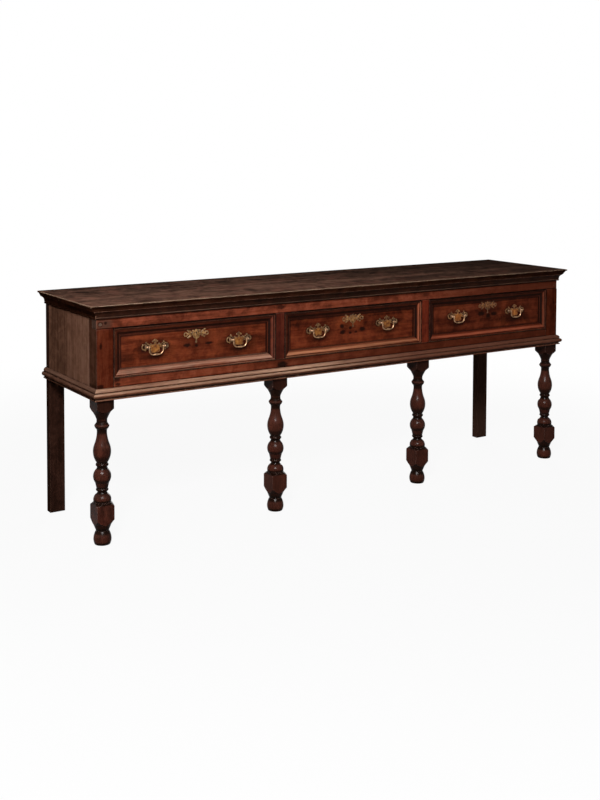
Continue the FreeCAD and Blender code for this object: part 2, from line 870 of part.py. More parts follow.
def handle_post(x, z):
    """Post with a ball head and a shank through the drawer front."""
    flange = plate_y - post_flange_thickness
    shank_end = front_back_y + nut_thickness + shank_spare
    neck = math.sqrt(post_head_radius ** 2 - post_neck_radius ** 2)
    stations = [
        (0.0, pivot_y - post_head_radius),
        (post_head_radius, pivot_y, post_neck_radius, pivot_y + neck),
        (post_neck_radius, flange),
        (post_flange_radius, flange),
        (post_flange_radius, plate_y),
        (post_shank_radius, plate_y),
        (post_shank_radius, shank_end),
        (0.0, shank_end),
    ]
    turned = face(stations, lambda r, y: V(x + r, y, z)).revolve(V(x, 0, z), V(0, 1, 0), 360.0)
    return turned.Solids[0]


def post_nut(x, z):
    nut = block(
        about(x, nut_size),
        (front_back_y, front_back_y + nut_thickness),
        about(z, nut_size),
    )
    bore = Part.makeCylinder(post_shank_radius + joint_gap, nut_thickness, V(x, front_back_y, z), V(0, 1, 0))
    return cut(nut, [bore])


def pin_hole(x, z, side):
    """Bore in the head of a post, open towards the middle of the handle."""
    start = V(x + side * (pin_seat + pin_clearance), pivot_y, z)
    depth = pin_seat + pin_clearance + post_head_radius
    return Part.makeCylinder(pin_radius + pin_clearance, depth, start, V(-side, 0, 0))


def bail(place):
    """Hanging bail: a bent rod with a swelled grip, and at each end an eye with a pin."""
    x, z = place
    post = post_spacing / 2.0
    arm = post - post_head_radius - bail_side_gap - bail_eye_radius
    bend = bail_bend_radius
    grip = arm - bend
    nearer = bend * (1.0 - math.sqrt(0.5))

    def at(u, v):
        return V(x + u, pivot_y, z + v)

    low = -bail_drop
    path = Part.Wire([
        Part.makeLine(at(-arm, 0.0), at(-arm, low + bend)),
        Part.Arc(at(-arm, low + bend), at(nearer - arm, low + nearer), at(-grip, low)).toShape(),
        Part.makeLine(at(-grip, low), at(grip, low)),
        Part.Arc(at(grip, low), at(arm - nearer, low + nearer), at(arm, low + bend)).toShape(),
        Part.makeLine(at(arm, low + bend), at(arm, 0.0)),
    ])
    end = Part.Face(Part.Wire(Part.makeCircle(bail_radius, at(-arm, 0.0), V(0, 0, 1))))
    swell = [
        (-grip, 0.0),
        (grip, 0.0),
        (grip, pin_radius),
        (0.0, bail_grip_radius, -grip, pin_radius),
    ]
    swelled = face(swell, lambda u, r: at(u, low + r)).revolve(at(0.0, low), V(1, 0, 0), 360.0)
    pieces = [path.makePipe(end), swelled]
    for side in (-1.0, 1.0):
        eye = at(side * arm, 0.0)
        pieces.append(Part.makeSphere(bail_eye_radius, eye))
        pieces.append(Part.makeCylinder(pin_radius, post + pin_seat - arm, eye, V(side, 0, 0)))
    return fused(pieces)


def escutcheon(x):
    """Pierced willow plate round the keyhole, with a pendant below."""
    z = keyhole_z
    place = (x, z)
    lobe_x = escutcheon_half_width - lobe_radius
    crest_z = z + escutcheon_rise - crest_radius
    wing = ((wing_root, -arm_drop), (wing_tip, escutcheon_rise - wing_lobe_radius))
    spur = ((spur_root, -arm_drop), (spur_tip, -spur_drop))
    pieces = [
        sheet(drawn(ESCUTCHEON_BODY, body_width, -escutcheon_drop, escutcheon_drop + body_rise), x, z),
        block(about(x, pendant_stem), (plate_y, field_y), (z - pendant_drop, z)),
        disc(pendant_radius, x, z - pendant_drop),
        disc(crest_radius, x, crest_z),
    ]
    holes = [keyhole(x, plate_y, plate_thickness)]
    for side in (-1.0, 1.0):
        pieces.append(disc(ear_radius, x + side * ear_offset, z + ear_rise))
        pieces.append(sheet(leaf((0.0, -arm_drop), (lobe_x, -arm_drop), arm_swell), x, z, side))
        pieces.append(disc(lobe_radius, x + side * lobe_x, z - lobe_drop))
        pieces += lobed_leaf(*wing, wing_swell, wing_lobe_radius, place, side)
        pieces += lobed_leaf(*spur, spur_swell, spur_lobe_radius, place, side)
        holes.append(disc(lobe_hole_radius, x + side * lobe_x, z - lobe_drop))
        holes.append(disc(eyelet_radius, x + side * eyelet_offset, z - arm_drop / 2.0))
    return cut(fused(pieces), holes)


def build_brasses(name, keyhole_x, handles):
    posts = []
    nuts = []
    for x, z in handles:
        for side in (-1.0, 1.0):
            post_x = x + side * post_spacing / 2.0
            posts.append(cut(handle_post(post_x, z), [pin_hole(post_x, z, side)]))
            nuts.append(post_nut(post_x, z))
    left, right = handles
    export(name + "_escutcheon", escutcheon(keyhole_x))
    export(name + "_handle_plates", handle_plate(left), handle_plate(right))
    export(name + "_handle_posts", *(posts + nuts))
    export(name + "_bail_left", bail(left))
    export(name + "_bail_right", bail(right))


def main():
    os.makedirs("parts", exist_ok=True)
    build_mouldings()
    build_top()
    build_legs()
    build_rails()
    build_panels()
    build_runs()
    for name, x, keyhole_x, handles in drawer_places():
        drawer_box(name, x, keyhole_x, handles)
        build_lock(name, keyhole_x)
        build_brasses(name, keyhole_x, handles)


main()
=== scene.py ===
from collections import namedtuple
from math import radians

import bpy
from mathutils import Euler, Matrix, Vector


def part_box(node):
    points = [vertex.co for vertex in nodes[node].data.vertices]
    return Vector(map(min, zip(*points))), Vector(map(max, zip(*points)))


# Looks of the oak dresser base: waxed oak with worn arrises and dirt in the quirks, aged brass, iron locks.
# Metres, in the frame of the CAD model: +X to the viewer's right, -Y to the front, +Z up.

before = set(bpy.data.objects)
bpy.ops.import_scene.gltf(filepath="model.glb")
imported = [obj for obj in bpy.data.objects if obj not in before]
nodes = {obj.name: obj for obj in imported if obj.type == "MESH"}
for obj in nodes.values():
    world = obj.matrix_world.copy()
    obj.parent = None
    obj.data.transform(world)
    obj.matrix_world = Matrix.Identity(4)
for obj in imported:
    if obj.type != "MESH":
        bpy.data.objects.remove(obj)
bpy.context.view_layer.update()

DRAWERS = ("drawer_left", "drawer_middle", "drawer_right")
FRONT_LEGS = ("leg_front_left", "leg_inner_left", "leg_inner_right", "leg_front_right")
BAILS = ("_bail_left", "_bail_right")

# Camera of the photograph, for an image of 600 x 800 pixels
IMAGE_WIDTH = 600.0
IMAGE_HEIGHT = 800.0
SENSOR = 36.0
FOCAL_PIXELS = 1163.6
CENTRE_PIXEL = (270.0, 201.8)  # where the line of sight meets the picture
CAMERA_PLACE = (-2.5193, -3.6465, 1.3156)
CAMERA_YAW = radians(31.974)  # from straight behind the front towards +X
CAMERA_PITCH = radians(2.974)  # downwards
CAMERA_ROLL = radians(0.131)
LEVEL = radians(90.0)  # turn of a camera that looks level

# Light
KEY_PLACE = (-2.5, -2.7, 2.5)
KEY_SIZE = 0.9
KEY_POWER = 180.0
FILL_PLACE = (2.6, -4.4, 1.7)
FILL_SIZE = 2.4
FILL_POWER = 4.0
BACK_PLACE = (3.2, 3.4, 1.3)
BACK_SIZE = 2.4
BACK_POWER = 150.0
SOFTBOX_PLACE = (-2.3, -3.3, 3.3)  # seen in polished surfaces alone
SOFTBOX_SIZE = 2.2
SOFTBOX_POWER = 1700.0
AIM = (-0.3, -0.1, 0.6)
WHITE = (1.0, 1.0, 1.0)
SKY = 0.08  # world as the object sees it
FLOOR_COLOUR = (0.45, 0.45, 0.45)
FLOOR_HALF = 40.0
FLOOR_CORNERS = ((-1.0, -1.0), (1.0, -1.0), (1.0, 1.0), (-1.0, 1.0))
FLOOR_SHADOW = 0.07  # share of the floor's real shading that the camera sees by the object
FLOOR_FADE = (1.2, 3.0)  # distances over which that share goes to nothing

# Colours of a wood, or of a brass with its patina as dark and its rubbed edges as worn
Palette = namedtuple("Palette", "dark middle light worn")
FRAME_OAK = Palette(
    dark=(0.060, 0.0128, 0.0054),
    middle=(0.188, 0.0425, 0.0200),
    light=(0.295, 0.0850, 0.0460),
    worn=(0.360, 0.200, 0.130),
)
POST_OAK = Palette(
    dark=(0.024, 0.0042, 0.0015),
    middle=(0.062, 0.0110, 0.0044),
    light=(0.099, 0.0218, 0.0092),
    worn=(0.320, 0.180, 0.120),
)
MUNTIN_OAK = Palette(
    dark=(0.025, 0.0043, 0.0018),
    middle=(0.063, 0.0108, 0.0050),
    light=(0.099, 0.0206, 0.0100),
    worn=(0.280, 0.130, 0.085),
)
DRAWER_OAK = Palette(
    dark=(0.024, 0.0048, 0.0018),
    middle=(0.102, 0.0185, 0.0065),
    light=(0.185, 0.0405, 0.0148),
    worn=(0.400, 0.220, 0.145),
)
BASE_OAK = Palette(
    dark=(0.055, 0.0180, 0.0090),
    middle=(0.125, 0.0450, 0.0240),
    light=(0.200, 0.0850, 0.0500),
    worn=(0.420, 0.245, 0.160),
)
TOP_OAK = Palette(
    dark=(0.022, 0.0127, 0.0093),
    middle=(0.112, 0.0585, 0.0408),
    light=(0.232, 0.1130, 0.0760),
    worn=(0.560, 0.370, 0.250),
)
CORNICE_OAK = Palette(
    dark=(0.008, 0.0027, 0.0012),
    middle=(0.0225, 0.0070, 0.0033),
    light=(0.045, 0.0142, 0.0072),
    worn=(0.320, 0.170, 0.110),
)
SIDE_OAK = Palette(
    dark=(0.052, 0.0225, 0.0130),
    middle=(0.112, 0.0510, 0.0310),
    light=(0.162, 0.0805, 0.0525),
    worn=(0.230, 0.135, 0.095),
)
# Darker boards for faces turned to the sides: painted shade
SIDE_SHADE_OAK = Palette(
    dark=(0.016, 0.0066, 0.0036),
    middle=(0.042, 0.0155, 0.0080),
    light=(0.066, 0.0275, 0.0165),
    worn=(0.150, 0.080, 0.055),
)
RETURN_OAK = Palette(
    dark=(0.022, 0.0080, 0.0040),
    middle=(0.052, 0.0190, 0.0105),
    light=(0.080, 0.0330, 0.0200),
    worn=(0.200, 0.110, 0.075),
)
LEG_OAK = Palette(
    dark=(0.008, 0.0023, 0.0013),
    middle=(0.027, 0.0078, 0.0047),
    light=(0.066, 0.0192, 0.0117),
    worn=(0.170, 0.098, 0.080),
)
PLANK_OAK = Palette(
    dark=(0.012, 0.0050, 0.0032),
    middle=(0.026, 0.0102, 0.0066),
    light=(0.047, 0.0230, 0.0155),
    worn=(0.090, 0.050, 0.035),
)
PEG_OAK = Palette(
    dark=(0.036, 0.0200, 0.0140),
    middle=(0.072, 0.0430, 0.0300),
    light=(0.112, 0.0730, 0.0530),
    worn=(0.190, 0.130, 0.098),
)
BACK_OAK = Palette(
    dark=(0.040, 0.0190, 0.0110),
    middle=(0.095, 0.0490, 0.0300),
    light=(0.160, 0.0900, 0.0580),
    worn=(0.210, 0.140, 0.100),
)
LINING_OAK = Palette(
    dark=(0.105, 0.0480, 0.0220),
    middle=(0.200, 0.0980, 0.0470),
    light=(0.290, 0.1560, 0.0820),
    worn=(0.370, 0.235, 0.145),
)
PLATE_BRASS = Palette(
    dark=(0.028, 0.011, 0.004),
    middle=(0.092, 0.042, 0.015),
    light=(0.215, 0.112, 0.046),
    worn=(0.450, 0.285, 0.165),
)
SHIELD_BRASS = Palette(
    dark=(0.070, 0.021, 0.005),
    middle=(0.175, 0.062, 0.012),
    light=(0.285, 0.122, 0.026),
    worn=(0.480, 0.300, 0.140),
)
ESCUTCHEON_BRASS = Palette(
    dark=(0.036, 0.016, 0.005),
    middle=(0.175, 0.081, 0.023),
    light=(0.365, 0.200, 0.075),
    worn=(0.720, 0.505, 0.330),
)
BAIL_BRASS = Palette(
    dark=(0.085, 0.041, 0.018),
    middle=(0.240, 0.128, 0.062),
    light=(0.400, 0.238, 0.130),
    worn=(0.560, 0.380, 0.240),
)
POST_BRASS = Palette(
    dark=(0.075, 0.036, 0.016),
    middle=(0.170, 0.090, 0.044),
    light=(0.290, 0.170, 0.092),
    worn=(0.420, 0.285, 0.180),
)
IRON = (0.035, 0.030, 0.027)
WORN_IRON = (0.075, 0.062, 0.053)
RUST = (0.120, 0.062, 0.034)
SOOT_AND_SHADE = (0.006, 0.0026, 0.0014)  # old dirt and burns, and painted shade
STRIP_SHADE = (0.015, 0.0052, 0.0034)  # painted shade on the moulding strips that face away from the light
GRIME = (0.022, 0.011, 0.005)  # on brass
GREY_WEAR = (0.055, 0.031, 0.021)  # round the left peg
RED_WEAR = (0.230, 0.080, 0.055)  # on the top
RED_WAX = (0.085, 0.0150, 0.0090)  # on the legs
BASE_REDDER = (0.085, 0.0240, 0.0130)  # right part of the base moulding
BEAD_WEAR = (0.190, 0.115, 0.082)  # outer beads of the drawer mouldings
GLOW = (0.260, 0.056, 0.017)  # brighter wood in the drawer fields
AS_IS = (1.0, 1.0, 1.0)  # factors that leave a palette alone

# Noises as (scale, detail, roughness, distortion)
BANDS = (8.0, 3.0, 0.5, 0.6)  # of the grain
STREAKS = (75.0, 5.0, 0.6, 0.3)
FLECKS = (330.0, 3.0, 0.55, 0.0)
PORES = (620.0, 2.0, 0.5, 0.0)
BREAKS = (45.0, 6.0, 0.68, 0.0)  # of the wear and painted light on flats
EDGE_BREAKS = (45.0, 5.0, 0.7, 0.0)  # of the wear on arrises
CLOUDS = (26.0, 6.0, 0.68, 0.5)
PATCHES = (10.0, 5.0, 0.62, 0.4)
RAGGED_RIMS = (130.0, 4.0, 0.6, 0.0)
SHEEN = (22.0, 4.0, 0.6, 0.0)
BRASS_CLOUDS = (110.0, 5.0, 0.66, 0.0)
BRASS_RELIEF = (420.0, 4.0, 0.6, 0.0)
RUST_CLOUDS = (160.0, 6.0, 0.65, 0.0)

# Steps from nothing to all, over a range of values
SOFT_STEP = (0.34, 0.66)
SHARP_STEP = (0.32, 0.68)
PATCH_STEP = (0.48, 0.70)
PORE_STEP = (0.55, 0.66)
BREAK_STEP = (0.32, 0.62)
EDGE_BREAK_STEP = (0.34, 0.58)
SHEEN_STEP = (0.3, 0.7)
SPOT_STEP = (1.25, 0.55)  # distance from the middle of a spot, in half sizes
ARRIS_STEP = (0.97, 0.78)  # agreement of the rounded and the true normal
BRASS_EDGE_STEP = (0.04, 0.35)  # the same, taken from one
RAISED_STEP = (-0.3, 0.05)  # upward part of a normal
FACING_UP = (0.05, 0.35)
FACING_DOWN = (-0.10, -0.35)
CORNER_STEP = (0.2, 0.6)  # depth of an inner corner
BRASS_CORNER_STEP = (0.2, 0.7)
KEPT_STEP = (-0.3, 0.3)  # places along X over which the bare wood and painted highlight give out
LINE_CORE = 0.4  # share of a line's reach that has its full strength
SEAM_BLUR = 0.008  # where one wood passes into another

# Oak
ALONG_GRAIN = 0.045  # stretch of the grain against its width
GRAIN_SCALE = {
    "x": (ALONG_GRAIN, 1.0, 1.0),
    "y": (1.0, ALONG_GRAIN, 1.0),
    "z": (1.0, 1.0, ALONG_GRAIN),
}
GRAIN_STOPS = (0.18, 0.5, 0.84)  # dark, middle and light in the figure
FLECK_SHARE = 0.16  # shares of the figure
BAND_SHARE = 0.32
STREAK_SHARE = 0.24
CLOUD_SHARE = 0.28
LEAST_RUBBED = 0.2  # where the wear and painted light on flats are thinnest
RAGGEDNESS = 0.9  # of stains, in half sizes
PORE_SHARE = 0.4
ARRIS_SHARE = 0.6
STREAK_RELIEF = 0.6
PORE_RELIEF = 0.5
GRAIN_DEPTH = 0.0005
GRAIN_STRENGTH = 0.6
SOFT_EDGE = 0.0012  # radius of arrises in the shading
WAX_SPREAD = (-0.06, 0.10)  # of the roughness
POLISH_ROUGHNESS = 0.20  # of the turned legs
POLISH_SPREAD = (-0.04, 0.06)
POLISH_SHINE = 0.016
POLISH_STRENGTH = 0.15  # of the grain under the polish
EDGE_SAMPLES = 4
CORNER_SAMPLES = 6

# Brass and iron
BRASS_STOPS = (0.36, 0.5, 0.66)  # dark, middle and light in the clouds
BRASS_METAL = 0.35
BRASS_ROUGHNESS = (0.5, 0.3)
BRASS_SHINE = 0.15
BRASS_EDGE = 0.0011
BRASS_RUB = 0.75
BRASS_CORNER = 0.009
BRASS_GRIME = 0.9
BRASS_DULL = 0.65
BRASS_DEPTH = 0.0003
BRASS_STRENGTH = 0.5
METAL_SOFT_EDGE = 0.0006
IRON_STOPS = (0.35, 0.55, 0.75)
IRON_METAL = 0.8
IRON_ROUGHNESS = (0.38, 0.7)
IRON_DEPTH = 0.0004
IRON_STRENGTH = 0.6
SHIELD_SPOT = (0.0205, 0.0155)  # half sizes
SHIELD_ABOVE_BAIL = 0.0065  # middles of the two

# Dirt and painted shade across an axis, and a mark on the front with its half sizes: stains, burns and
# painted shadows
Line = namedtuple("Line", "place reach strength")
Mark = namedtuple("Mark", "x z wide high strength colour")

# Dirt and painted shade in the grooves of the turning of the legs, by height
LEG_GROOVES = [
    Line(0.045, 0.015, 0.90),
    Line(0.140, 0.011, 0.95),
    Line(0.1735, 0.010, 0.95),
    Line(0.185, 0.007, 0.90),
    Line(0.2555, 0.011, 0.95),
    Line(0.2685, 0.007, 0.95),
    Line(0.375, 0.013, 0.90),
    Line(0.403, 0.010, 0.90),
]

DrawerLook = namedtuple(
    "DrawerLook",
    (
        "field",  # factors on the colour of the wood, lowest on the right drawer as painted shade
        "glow",  # amount of brighter patches
        "halo",  # grime and painted shade round the keyhole
        "bare",  # bare wood and painted highlight on the lower strip of the moulding, which faces up
        "bare_share",
        "fade",  # how far that gives out towards the field
        "lit",  # painted light on the right strip of the moulding
        "bead",  # wear on the outer bead
        "wear",  # on the arrises
        "escutcheon",  # factors on the brass, lower towards the right drawer as painted shade
        "plates",
    ),
)
DRAWER_LOOKS = {
    "drawer_left": DrawerLook(
        field=(1.02, 1.00, 0.97),
        glow=0.25,
        halo=0.5,
        bare=(0.470, 0.255, 0.170),
        bare_share=0.90,
        fade=0.60,
        lit=(0.170, 0.050, 0.034),
        bead=0.18,
        wear=1.0,
        escutcheon=AS_IS,
        plates=(1.00, 0.96, 0.88),
    ),
    "drawer_middle": DrawerLook(
        field=(0.96, 0.90, 0.88),
        glow=0.50,
        halo=0.0,
        bare=(0.450, 0.178, 0.088),
        bare_share=0.85,
        fade=0.80,
        lit=(0.420, 0.122, 0.058),
        bead=0.16,
        wear=0.9,
        escutcheon=(0.92, 0.82, 0.76),
        plates=(1.00, 0.96, 0.88),
    ),
    "drawer_right": DrawerLook(
        field=(0.84, 0.82, 0.90),
        glow=0.25,
        halo=0.35,
        bare=(0.370, 0.090, 0.044),
        bare_share=0.80,
        fade=0.95,
        lit=(0.230, 0.074, 0.042),
        bead=0.06,
        wear=0.4,
        escutcheon=(0.70, 0.52, 0.46),
        plates=(1.35, 1.15, 0.95),
    ),
}

# Old stains under the keyholes, from the keyhole: across, up, half width, half height
STAINS = {
    "drawer_left": [
        (-0.0345, -0.042, 0.0155, 0.0062),
        (0.001, -0.046, 0.0060, 0.0060),
        (0.0485, -0.041, 0.0160, 0.0052),
    ],
    "drawer_middle": [
        (-0.049, -0.030, 0.0110, 0.0090),
        (-0.045, -0.052, 0.0135, 0.0085),
        (-0.011, -0.039, 0.0075, 0.0065),
        (-0.012, -0.057, 0.0080, 0.0045),
        (0.014, -0.056, 0.0080, 0.0045),
        (0.042, -0.048, 0.0170, 0.0090),
    ],
    "drawer_right": [
        (-0.034, -0.036, 0.0180, 0.0100),
        (0.004, -0.046, 0.0120, 0.0080),
        (0.036, -0.040, 0.0200, 0.0090),
    ],
}
STAIN_STRENGTH = 0.9
KEYHOLE_ABOVE_PENDANT = 0.0364
KEYHOLE_HALO = (0.064, 0.042)  # half sizes of the grime and painted shade round the fittings
KEYHOLE_HALO_DROP = 0.016
HANDLE_HALO = (0.064, 0.038)
HANDLE_HALO_STRENGTH = 0.65
# Painted shadow on the wood behind the piercings of the scrolls and round their edges
SCROLL_HALO = (0.016, 0.015)
SCROLL_HALO_STRENGTH = 0.8
SCROLL_FROM_MIDDLE = 0.0394
SCROLL_ABOVE_BAIL = 0.013
BAIL_SHADE = (0.030, 0.011)
BAIL_SHADE_SHIFT = (0.004, -0.003)
BAIL_SHADE_STRENGTH = 0.5
MOULDING_WIDTH = 0.026  # of the raised moulding round a drawer front
MOULDING_FRONT = 0.2  # share of its depth that gets worn
QUIRK = 0.0043  # groove inside its outer bead, from its outer edge
TOP_EDGE = 0.03  # width of the edge of the top that gets worn
BACK_SEAM = 0.1503  # between the two back boards, above the lower edge


class Finish:
    """A material whose nodes are made by short calls."""

    def __init__(self, name):
        self.material = bpy.data.materials.new(name)
        self.material.use_nodes = True
        self.tree = self.material.node_tree
        self.tree.nodes.clear()
        self.place = self.node("ShaderNodeTexCoord").outputs["Object"]
        self.geometry = self.node("ShaderNodeNewGeometry")

    def node(self, kind, inputs=None, **settings):
        made = self.tree.nodes.new(kind)
        for key, value in settings.items():
            setattr(made, key, value)
        for key, value in (inputs or {}).items():
            if isinstance(value, bpy.types.NodeSocket):
                self.tree.links.new(value, made.inputs[key])
            else:
                made.inputs[key].default_value = value
        return made

    def noise(self, vector, scale, detail, roughness, distortion):
        inputs = {
            "Vector": vector,
            "Scale": scale,
            "Detail": detail,
            "Roughness": roughness,
            "Distortion": distortion,
        }
        return self.node("ShaderNodeTexNoise", inputs).outputs["Fac"]

    def math(self, operation, first, second=0.0, third=0.0):
        inputs = {0: first, 1: second, 2: third}
        return self.node("ShaderNodeMath", inputs, operation=operation).outputs[0]

    def times(self, *values):
        total = values[0]
        for value in values[1:]:
            total = self.math("MULTIPLY", total, value)
        return total

    def between(self, value, low, high, to_low=0.0, to_high=1.0):
        """Smooth step of a value from low to high."""
        inputs = {"Value": value, "From Min": low, "From Max": high, "To Min": to_low, "To Max": to_high}
        return self.node("ShaderNodeMapRange", inputs, interpolation_type="SMOOTHSTEP").outputs["Result"]

    def ramp(self, value, places, colours):
        made = self.node("ShaderNodeValToRGB", {"Fac": value})
        elements = made.color_ramp.elements
        while len(elements) < len(places):
            elements.new(0.5)
        for element, place, colour in zip(elements, places, colours):
            element.position = place
            element.color = (*colour, 1.0)
        return made.outputs["Color"]

    def mix(self, factor, first, second):
        """One colour or socket laid over another."""
        inputs = {0: factor}
        for index, value in ((6, first), (7, second)):
            inputs[index] = value if isinstance(value, bpy.types.NodeSocket) else (*value, 1.0)
        return self.node("ShaderNodeMix", inputs, data_type="RGBA").outputs[2]

    def axis_of(self, vector, name):
        return self.node("ShaderNodeSeparateXYZ", {"Vector": vector}).outputs[name]

    def higher_than(self, height):
        return self.math("GREATER_THAN", self.axis_of(self.place, "Z"), height)

    def distance_to(self, value, place):
        return self.math("ABSOLUTE", self.math("SUBTRACT", value, place))

    def rounded(self, radius):
        return self.node("ShaderNodeBevel", {"Radius": radius}, samples=EDGE_SAMPLES).outputs["Normal"]

    def agreement(self, normal):
        """One on the flats, less along the arrises of a rounded normal."""
        inputs = {0: normal, 1: self.geometry.outputs["True Normal"]}
        return self.node("ShaderNodeVectorMath", inputs, operation="DOT_PRODUCT").outputs["Value"]

    def recesses(self, distance):
        """One in the inner corners, zero in the open."""
        made = self.node("ShaderNodeAmbientOcclusion", {"Distance": distance}, samples=CORNER_SAMPLES)
        return self.math("SUBTRACT", 1.0, made.outputs["AO"])

    def spot(self, x, z, wide, high, ragged):
        """One inside an ellipse on the front, fading out towards its ragged rim."""
        moved = self.node("ShaderNodeVectorMath", {0: self.place, 1: (x, 0.0, z)}, operation="SUBTRACT")
        inputs = {0: moved.outputs["Vector"], 1: (1.0 / wide, 0.0, 1.0 / high)}
        scaled = self.node("ShaderNodeVectorMath", inputs, operation="MULTIPLY")
        length = self.node("ShaderNodeVectorMath", {0: scaled.outputs["Vector"]}, operation="LENGTH")
        return self.between(self.math("ADD", length.outputs["Value"], ragged), *SPOT_STEP)

    def bump(self, height, distance, strength, normal):
        inputs = {"Height": height, "Distance": distance, "Strength": strength, "Normal": normal}
        return self.node("ShaderNodeBump", inputs).outputs["Normal"]

    def shader(self, inputs):
        return self.node("ShaderNodeBsdfPrincipled", inputs).outputs["BSDF"]

    def surface(self, shader):
        self.node("ShaderNodeOutputMaterial", {"Surface": shader})


class Oak(Finish):
    """Waxed oak. Its colour is laid in coats: boards, stains, bare wood with painted highlight on slopes,
    painted shade, then worn arrises, and grime with painted shade in the corners.
    """

    def __init__(self, name, grain, offset, palette, blotches=0.5):
        """grain is the axis that it runs along, or the box of a mitred frame, where it follows each strip."""
        super().__init__(name)
        mitred = not isinstance(grain, str)
        self.vector = self.mitred_grain(grain, offset) if mitred else self.grain(grain, offset)
        self.normal = self.geometry.outputs["Normal"]
        self.dark = palette.dark
        self.worn = palette.worn
        bands = self.between(self.noise(self.vector, *BANDS), *SOFT_STEP)
        self.streaks = self.noise(self.vector, *STREAKS)
        flecks = self.noise(self.vector, *FLECKS)
        cloud = self.between(self.noise(self.place, *CLOUDS), *SOFT_STEP)
        sharp = self.between(self.streaks, *SHARP_STEP)
        self.figure = self.times(flecks, FLECK_SHARE)
        for layer, share in ((bands, BAND_SHARE), (sharp, STREAK_SHARE), (cloud, CLOUD_SHARE)):
            self.figure = self.math("ADD", self.figure, self.times(layer, share))
        self.broken = self.between(self.noise(self.vector, *BREAKS), *BREAK_STEP, LEAST_RUBBED, 1.0)
        self.colour = self.boards(palette)
        self.patches(self.dark, blotches, offset)

    def grain(self, axis, offset):
        """Object coordinates drawn out along the grain."""
        inputs = {"Vector": self.place, "Location": offset, "Scale": GRAIN_SCALE[axis]}
        return self.node("ShaderNodeMapping", inputs).outputs["Vector"]

    def mitred_grain(self, box, offset):
        """Grain along each strip of a mitred frame. Also keeps a mask for each strip and the way in."""
        low, high = box
        from_edges = []
        beyond = []
        for axis in "XZ":
            start = getattr(low, axis.lower())
            end = getattr(high, axis.lower())
            off = self.math("SUBTRACT", self.axis_of(self.place, axis), (start + end) / 2.0)
            from_edges.append(self.math("SUBTRACT", (end - start) / 2.0, self.math("ABSOLUTE", off)))
            beyond.append(self.math("GREATER_THAN", off, 0.0))
        upright = self.math("LESS_THAN", *from_edges)
        level = self.math("SUBTRACT", 1.0, upright)
        self.inward = self.math("MINIMUM", *from_edges)
        self.strips = {"right": self.times(upright, beyond[0]), "top": self.times(level, beyond[1])}
        self.strips["left"] = self.math("SUBTRACT", upright, self.strips["right"])
        self.strips["bottom"] = self.math("SUBTRACT", level, self.strips["top"])
        inputs = {"Factor": upright, 4: self.grain("x", offset), 5: self.grain("z", offset)}
        return self.node("ShaderNodeMix", inputs, data_type="VECTOR").outputs[1]

    def boards(self, palette):
        return self.ramp(self.figure, GRAIN_STOPS, (palette.dark, palette.middle, palette.light))

    def coat(self, amount, colour):
        self.colour = self.mix(amount, self.colour, colour)

    def above(self, height, palette):
        """Other boards above a height."""
        amount = self.between(self.axis_of(self.place, "Z"), height - SEAM_BLUR, height + SEAM_BLUR)
        self.coat(amount, self.boards(palette))

    def turned(self, axis, low, high, palette, height=None):
        """Other boards on faces whose slope towards an axis passes two values, here darker ones for painted
        shade. Height: only above it.
        """
        slope = self.axis_of(self.normal, axis)
        if axis == "X":
            slope = self.math("ABSOLUTE", slope)
        amount = self.between(slope, low, high)
        if height is not None:
            amount = self.times(amount, self.higher_than(height))
        self.coat(amount, self.boards(palette))

    def patches(self, colour, amount, offset):
        """Soft blotches as large as a hand."""
        inputs = {"Vector": self.place, "Location": offset}
        moved = self.node("ShaderNodeMapping", inputs).outputs["Vector"]
        cloud = self.noise(moved, *PATCHES)
        self.coat(self.times(self.between(cloud, *PATCH_STEP), amount), colour)

    def along(self, axis, start, end, amount, colour):
        """A coat that grows along an axis."""
        self.coat(self.between(self.axis_of(self.place, axis), start, end, 0.0, amount), colour)

    def stains(self, marks):
        """Ragged marks on the front."""
        rims = self.noise(self.place, *RAGGED_RIMS)
        ragged = self.math("MULTIPLY_ADD", rims, RAGGEDNESS, -RAGGEDNESS / 2.0)
        for mark in marks:
            amount = self.spot(mark.x, mark.z, mark.wide, mark.high, ragged)
            self.coat(self.times(amount, mark.strength), mark.colour)

    def lines(self, axis, marks, height=None):
        """Dark lines across an axis: grime, joints and painted shade. Height: only above it."""
        for place, reach, strength in marks:
            off = self.distance_to(self.axis_of(self.place, axis), place)
            amount = self.between(off, reach, LINE_CORE * reach, 0.0, strength)
            if height is not None:
                amount = self.times(amount, self.higher_than(height))
            self.coat(amount, SOOT_AND_SHADE)

    def rubbed(self, amount, to_right=1.0):
        """Bare wood and painted highlight on slopes that face up, with a share of it left at the right end.
        """
        facing_up = self.between(self.axis_of(self.normal, "Z"), *FACING_UP, 0.0, amount)
        kept = self.between(self.axis_of(self.place, "X"), *KEPT_STEP, 1.0, to_right)
        self.coat(self.times(facing_up, self.broken, kept), self.worn)

    def shaded(self, amount):
        """Painted shade on slopes that face down."""
        self.coat(self.between(self.axis_of(self.normal, "Z"), *FACING_DOWN, 0.0, amount), SOOT_AND_SHADE)

    def strip(self, side, start, end, amount, colour, streaky=False):
        """Coat one strip of a mitred frame, growing from one distance inwards to another."""
        amount = self.times(self.strips[side], self.between(self.inward, start, end, 0.0, amount))
        if streaky:
            amount = self.times(amount, self.broken)
        self.coat(amount, colour)

    def groove(self, side, place, reach, strength):
        """Grime and painted shade in a groove that runs along one strip of a mitred frame."""
        off = self.distance_to(self.inward, place)
        amount = self.between(off, reach, LINE_CORE * reach, 0.0, strength)
        self.coat(self.times(self.strips[side], amount), SOOT_AND_SHADE)

